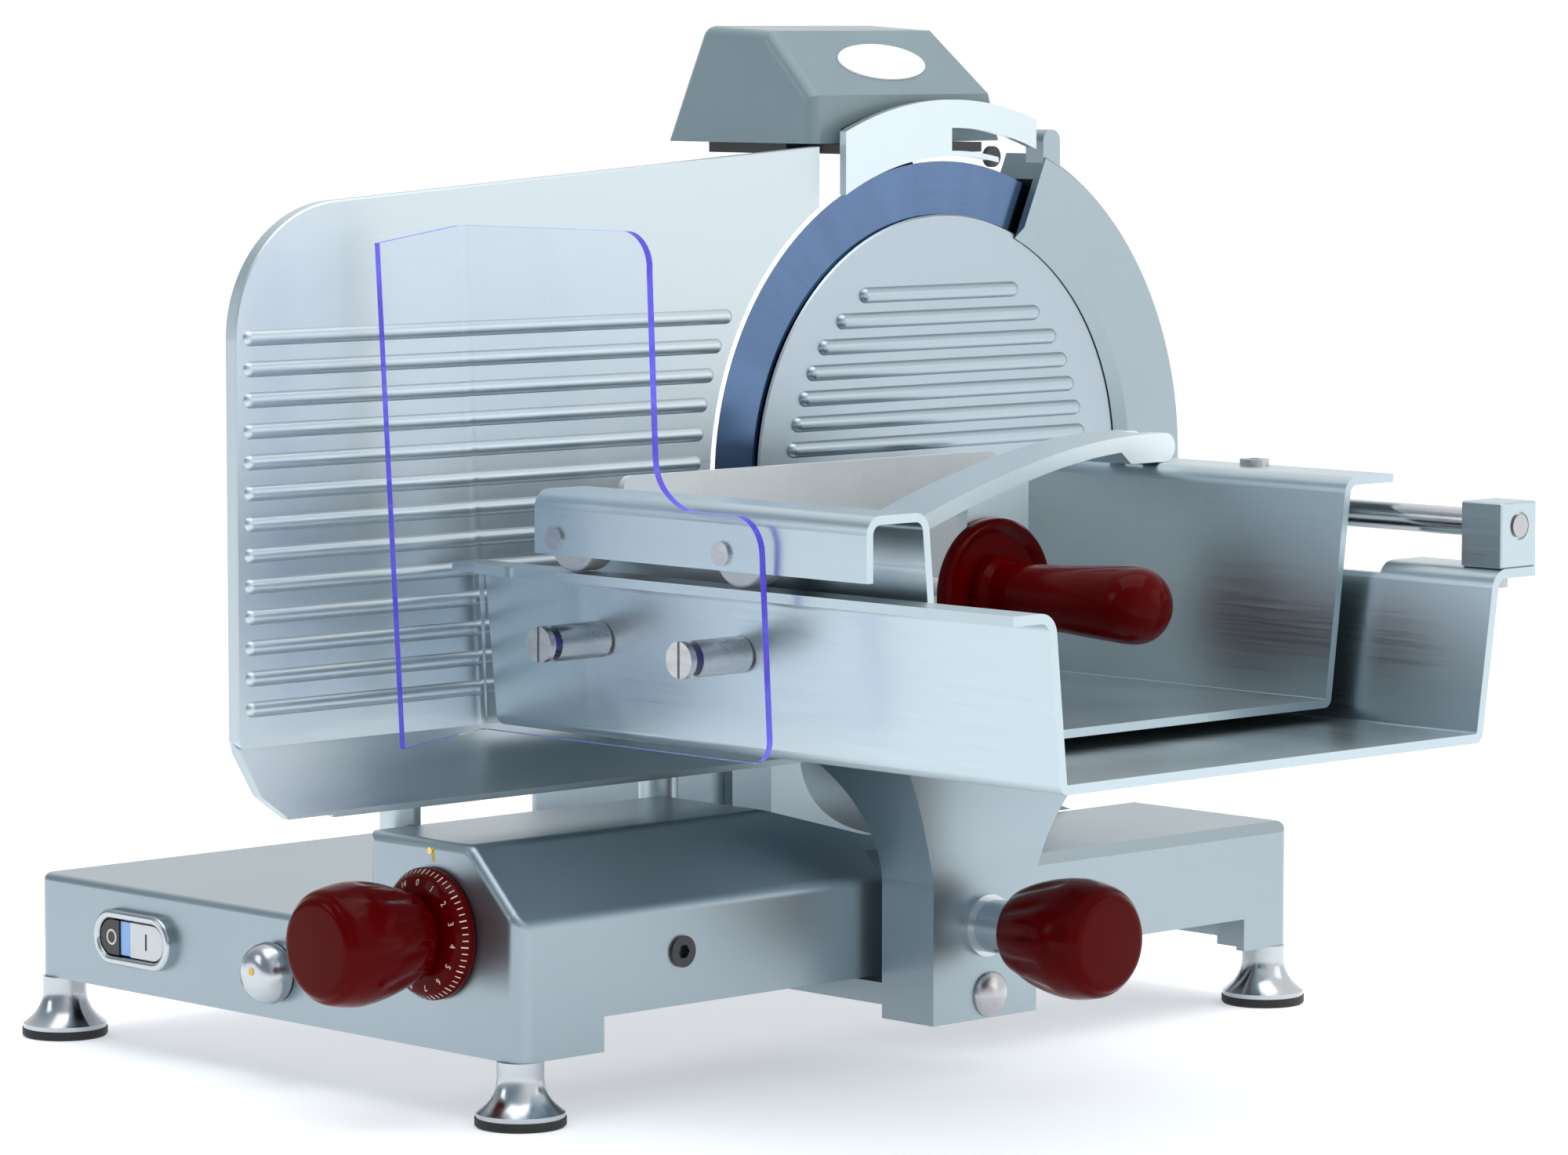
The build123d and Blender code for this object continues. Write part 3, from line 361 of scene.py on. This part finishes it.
def lathe(name, profile, centre, turn, look, body, stands_for, flutes=0):
    """Turned piece: profile is (radius, height) points, height along the turned local Z."""
    bm = bmesh.new()
    rings = []
    for radius, height in profile:
        ring = []
        for k in range(AROUND):
            angle = 2 * math.pi * k / AROUND
            bite = flute_bite(height, angle, FLUTE_SPAN, FLUTE_DEPTH, flutes) if flutes else 0.0
            r = max(radius - bite, 0.01)
            offset = turn @ Vector((r * math.cos(angle), r * math.sin(angle), height))
            ring.append(bm.verts.new(at(*centre) + offset * MM))
        rings.append(ring)
    for lower, upper in zip(rings, rings[1:]):
        for k in range(AROUND):
            n = (k + 1) % AROUND
            bm.faces.new((lower[k], lower[n], upper[n], upper[k]))
    bm.faces.new(list(reversed(rings[0])))
    bm.faces.new(rings[-1])
    for face in bm.faces:
        face.smooth = len(face.verts) == 4
    thing = new_piece(name, from_bmesh(name, bm), look, body)
    thing.data.set_sharp_from_angle(angle=SHARP_ANGLE)
    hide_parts(stands_for)


GRIP = smooth_path([(19, 0.2), (24, 6), (29.5, 22), (32.8, 42), (30.5, 59), (27.2, 64)], 8) + [
    (26.0, 65.6), (24.4, 66.7), (22, 67)]
CLAMP = [(8, -38), (8, 0)] + GRIP
DIAL = [(8.2, 415), (34, 415), (34.7, 415.3), (35, 416), (35, 418.3), (34.7, 419.1),
        (31.2, 423.8), (30.4, 424.4), (24.2, 426.5), (8.2, 426.5)]
DISC = [(5.1, 178), (36.4, 178), (37.4, 178.6), (39.8, 180), (40, 181), (40, 186), (39.6, 187), (38, 188.8),
        (35.4, 187.4), (32, 184.2), (20.6, 184.2)]
HANDLE = [(20.2, 184.3), (20.5, 185), (20.5, 191), (20.1, 192), (17.7, 195.6)] + smooth_path(
    [(17.4, 197), (17.3, 215), (17.9, 238), (19, 255), (20.2, 275), (20.5, 285), (19.6, 292.5), (16.2, 298.6),
     (10, 303.2), (1, 305.4)])
LOCK = [(8, 400), (8, 414.8), (15, 414.8), (15.8, 415.2), (16.3, 416.4), (16.9, 419),
        (16.2, 423), (14.2, 427.4), (11, 430.2), (6, 431), (0.5, 431)]


def make_turned_pieces():
    """Finely divided knobs, grips and dial in place of the CAD's coarser ones."""
    dial = (DIAL_X, 0, DIAL_Z)
    grip = (DIAL_X, GRIP_START, DIAL_Z)
    handle = (0, HANDLE_Y, HANDLE_Z)
    lock = (LOCK_X, 0, LOCK_Z)
    lathe("thickness_grip_turned", GRIP, grip, TOWARDS_OPERATOR, "red", "thickness_control",
          "thickness_grip", FLUTES)
    lathe("clamp_knob_turned", CLAMP, CLAMP_PLACE, ALONG_X, "red", "clamp_knob",
          "clamp_knob", FLUTES)
    lathe("thickness_dial_turned", DIAL, dial, TOWARDS_OPERATOR, "red", "thickness_control",
          "thickness_dial")
    lathe("handle_disc_turned", DISC, handle, ALONG_X, "red", "press", "handle_disc")
    lathe("handle_grip_turned", HANDLE, handle, ALONG_X, "red", "press", "handle_grip")
    lathe("lock_knob_turned", LOCK, lock, TOWARDS_OPERATOR, "chrome", "lock_knob", "lock_knob")


def solid_of(outline, thick, frame_of):
    """Thin plate: outline points (a, b), laid by frame_of(a, b, c) with c from 0 to thick."""
    bm = bmesh.new()
    low = [bm.verts.new(frame_of(a, b, 0.0)) for a, b in outline]
    high = [bm.verts.new(frame_of(a, b, thick)) for a, b in outline]
    bm.faces.new(low)
    bm.faces.new(high)
    for k in range(len(outline)):
        n = (k + 1) % len(outline)
        bm.faces.new((low[k], low[n], high[n], high[k]))
    return bm


def ellipse(a, b, rx, ry, count=64):
    """Outline of an ellipse about (a, b)."""
    return [(a + rx * math.cos(2 * math.pi * k / count), b + ry * math.sin(2 * math.pi * k / count))
            for k in range(count)]


def merge(name, solids, look, body):
    """One piece from several small bmesh solids."""
    whole = bmesh.new()
    for bm in solids:
        data = bpy.data.meshes.new("part")
        bm.to_mesh(data)
        bm.free()
        whole.from_mesh(data)
        bpy.data.meshes.remove(data)
    return new_piece(name, from_bmesh(name, whole), look, body)


TICKS = 60
TICKS_PER_NUMBER = 4
TICK_OUTER = 34.3
TICK_LIFT = 0.12
LONG_TICK = (31.3, 0.0105)
SHORT_TICK = (32.4, 0.008)
NUMBER_RADIUS = 27.8
NUMBER_SIZE = 4.6
NUMBER_THICK = 0.05
NUMBER_LIFT = 0.06
DIAL_EDGE = 31


def number_mesh(text):
    """Thin mesh of a number, centred on the origin, in millimetres."""
    curve = bpy.data.curves.new("digit", "FONT")
    curve.body = text
    curve.size = NUMBER_SIZE
    curve.align_x = "CENTER"
    curve.align_y = "CENTER"
    curve.extrude = NUMBER_THICK
    holder = bpy.data.objects.new("digit", curve)
    data = bpy.data.meshes.new_from_object(holder)
    bpy.data.objects.remove(holder)
    bpy.data.curves.remove(curve)
    return data


def on_dial(radius, angle, lift):
    """Point on the dial's face: radius from its axis, angle clockwise from the top as the operator sees it.

    The face has a steep rim outside DIAL_EDGE and a flatter cone inside it.
    """
    if radius >= DIAL_EDGE:
        y = -423.9 + (radius - DIAL_EDGE) * (5.2 / 4)
    else:
        y = -424.2 - (DIAL_EDGE - radius) * (2.3 / 7)
    return at(DIAL_X + radius * math.sin(angle), y - lift, DIAL_Z + radius * math.cos(angle))


def make_dial_ticks():
    """Tick marks round the dial's rim, a long one at each number."""
    solids = []
    for k in range(TICKS):
        angle = 2 * math.pi * k / TICKS
        inner, wide = LONG_TICK if k % TICKS_PER_NUMBER == 0 else SHORT_TICK
        outline = [(inner, -wide), (TICK_OUTER, -wide), (TICK_OUTER, wide), (inner, wide)]
        solids.append(solid_of(outline, TICK_LIFT, lambda a, b, c, t=angle: on_dial(a, t + b, c)))
    merge("dial_marks", solids, "ink", "thickness_control")


def make_dial_numbers():
    """Numbers from 0 up, one at each long tick."""
    whole = bmesh.new()
    count = TICKS // TICKS_PER_NUMBER
    for number in range(count):
        data = number_mesh(str(number))
        angle = 2 * math.pi * number / count
        for vertex in data.vertices:
            x, y, z = vertex.co
            vertex.co = on_dial(NUMBER_RADIUS + y, angle + x / NUMBER_RADIUS, NUMBER_LIFT + z)
        whole.from_mesh(data)
        bpy.data.meshes.remove(data)
    new_piece("dial_numbers", from_bmesh("dial_numbers", whole), "ink", "thickness_control")


def facing_operator(y):
    """Lays outline points (X, Z) on a face at Y that looks at the operator."""
    return lambda a, b, c: at(a, y - c, b)


def annulus(a, b, outer, inner, thick, frame_of, count=56):
    """Raised ring between two ellipses."""
    bm = bmesh.new()
    loops = []
    for size in (outer, inner):
        for height in (0.0, thick):
            outline = ellipse(a, b, size[0], size[1], count)
            loops.append([bm.verts.new(frame_of(p, q, height)) for p, q in outline])
    low_out, high_out, low_in, high_in = loops
    for k in range(count):
        n = (k + 1) % count
        bm.faces.new((low_out[k], low_out[n], high_out[n], high_out[k]))
        bm.faces.new((low_in[k], high_in[k], high_in[n], low_in[n]))
        bm.faces.new((high_out[k], high_out[n], high_in[n], high_in[k]))
        bm.faces.new((low_out[k], low_in[k], low_in[n], low_out[n]))
    return bm


MARK_THICK = 0.25
BUTTON_FACE = -419
HOUSING_FACE = -414.5
LOCK_FACE = -431.0
BUTTON_Z = 64.4


def bar(x, z):
    """Outline of an upright bar given by its two corners."""
    return [(x[0], z[0]), (x[1], z[0]), (x[1], z[1]), (x[0], z[1])]


def make_control_marks():
    """Ring on the stop button, bar on the start button, index mark above the dial, dot on the lock knob."""
    on_button = facing_operator(BUTTON_FACE)
    ring = annulus(-230.5, BUTTON_Z, (4.4, 4.4), (3.3, 3.3), MARK_THICK, on_button)
    merge("stop_mark", [ring], "ink", "stop_button")
    upright = solid_of(bar((-200.1, -198.9), (60, 69)), MARK_THICK, on_button)
    merge("start_mark", [upright], "dark_ink", "start_button")
    index = solid_of(bar((39.7, 41.3), (133.4, 141)), MARK_THICK, facing_operator(HOUSING_FACE))
    merge("index_mark", [index], "yellow", "base")
    dot = solid_of(ellipse(LOCK_X, LOCK_Z + 2, 2.2, 2.2), MARK_THICK, facing_operator(LOCK_FACE))
    merge("lock_dot", [dot], "yellow", "lock_knob")


make_turned_pieces()
make_dial_ticks()
make_dial_numbers()
make_control_marks()


# ---------------------------------------------------------------- floor, lights, camera
def make_floor():
    """Wide disc of pale paper."""
    bm = bmesh.new()
    bmesh.ops.create_circle(bm, cap_ends=True, segments=96, radius=40.0)
    data = from_bmesh("floor", bm)
    g = Graph("floor_paper")
    clouds = g.noise(g.place(), 3.0, 3.0)
    g.set(Base_Color=g.blend(clouds, (0.90, 0.905, 0.91, 1), (0.93, 0.935, 0.94, 1)), Roughness=0.9,
          Emission_Color=(0.95, 0.97, 1.0, 1), Emission_Strength=0.42)
    data.materials.append(g.material)
    thing = bpy.data.objects.new("floor", data)
    bpy.context.scene.collection.objects.link(thing)


def make_world():
    """Soft studio all round: white at the back and right, greyer towards the front left."""
    world = bpy.data.worlds.new("studio")
    bpy.context.scene.world = world
    world.use_nodes = True
    tree = world.node_tree
    background = tree.nodes["Background"]
    coordinate = tree.nodes.new("ShaderNodeTexCoord")
    along = tree.nodes.new("ShaderNodeVectorMath")
    along.operation = "DOT_PRODUCT"
    along.inputs[1].default_value = (0.30, 0.95, 0.0)
    tree.links.new(coordinate.outputs["Generated"], along.inputs[0])
    spread = tree.nodes.new("ShaderNodeMapRange")
    spread.inputs["From Min"].default_value = -1.0
    tree.links.new(along.outputs["Value"], spread.inputs["Value"])
    ramp = tree.nodes.new("ShaderNodeValToRGB")
    ramp.color_ramp.interpolation = "EASE"
    ramp.color_ramp.elements[0].position = 0.08
    ramp.color_ramp.elements[0].color = (0.26, 0.32, 0.37, 1)
    ramp.color_ramp.elements[1].position = 0.66
    ramp.color_ramp.elements[1].color = (1.0, 1.0, 1.0, 1)
    tree.links.new(spread.outputs["Result"], ramp.inputs["Fac"])
    tree.links.new(ramp.outputs["Color"], background.inputs["Color"])
    background.inputs["Strength"].default_value = 1.0


def area_light(name, place, target, size, power):
    """White rectangular light at place, turned to target. Size in metres, power in watts."""
    data = bpy.data.lights.new(name, "AREA")
    data.shape = "RECTANGLE"
    data.size, data.size_y = size
    data.energy = power
    thing = bpy.data.objects.new(name, data)
    thing.location = place
    thing.rotation_euler = (Vector(target) - Vector(place)).to_track_quat("-Z", "Y").to_euler()
    bpy.context.scene.collection.objects.link(thing)


CAMERA_PLACE = (2.37675, -2.28173, 0.5706)
CAMERA_DIP = 5.258
CAMERA_ROUND = 46.372
CAMERA_LENS = 138.43


def make_camera():
    """Long lens at the height of the hood, 46 degrees round from the operator's side."""
    data = bpy.data.cameras.new("camera")
    data.sensor_width = 36.0
    data.lens = CAMERA_LENS
    data.clip_end = 200.0
    thing = bpy.data.objects.new("camera", data)
    thing.location = CAMERA_PLACE
    thing.rotation_euler = (math.radians(90 - CAMERA_DIP), 0, math.radians(CAMERA_ROUND))
    bpy.context.scene.collection.objects.link(thing)
    bpy.context.scene.camera = thing


make_floor()
make_world()
area_light("overhead", (0.2, -0.2, 2.4), (0, 0, 0.2), (2.6, 2.0), 26.0)
area_light("back_right", (2.6, 1.8, 1.2), (0, 0, 0.3), (1.6, 1.6), 7.0)
area_light("front_left", (-1.6, -2.6, 1.4), (0, 0, 0.3), (0.9, 1.4), 8.0)
make_camera()
bpy.context.scene.view_settings.view_transform = "Standard"
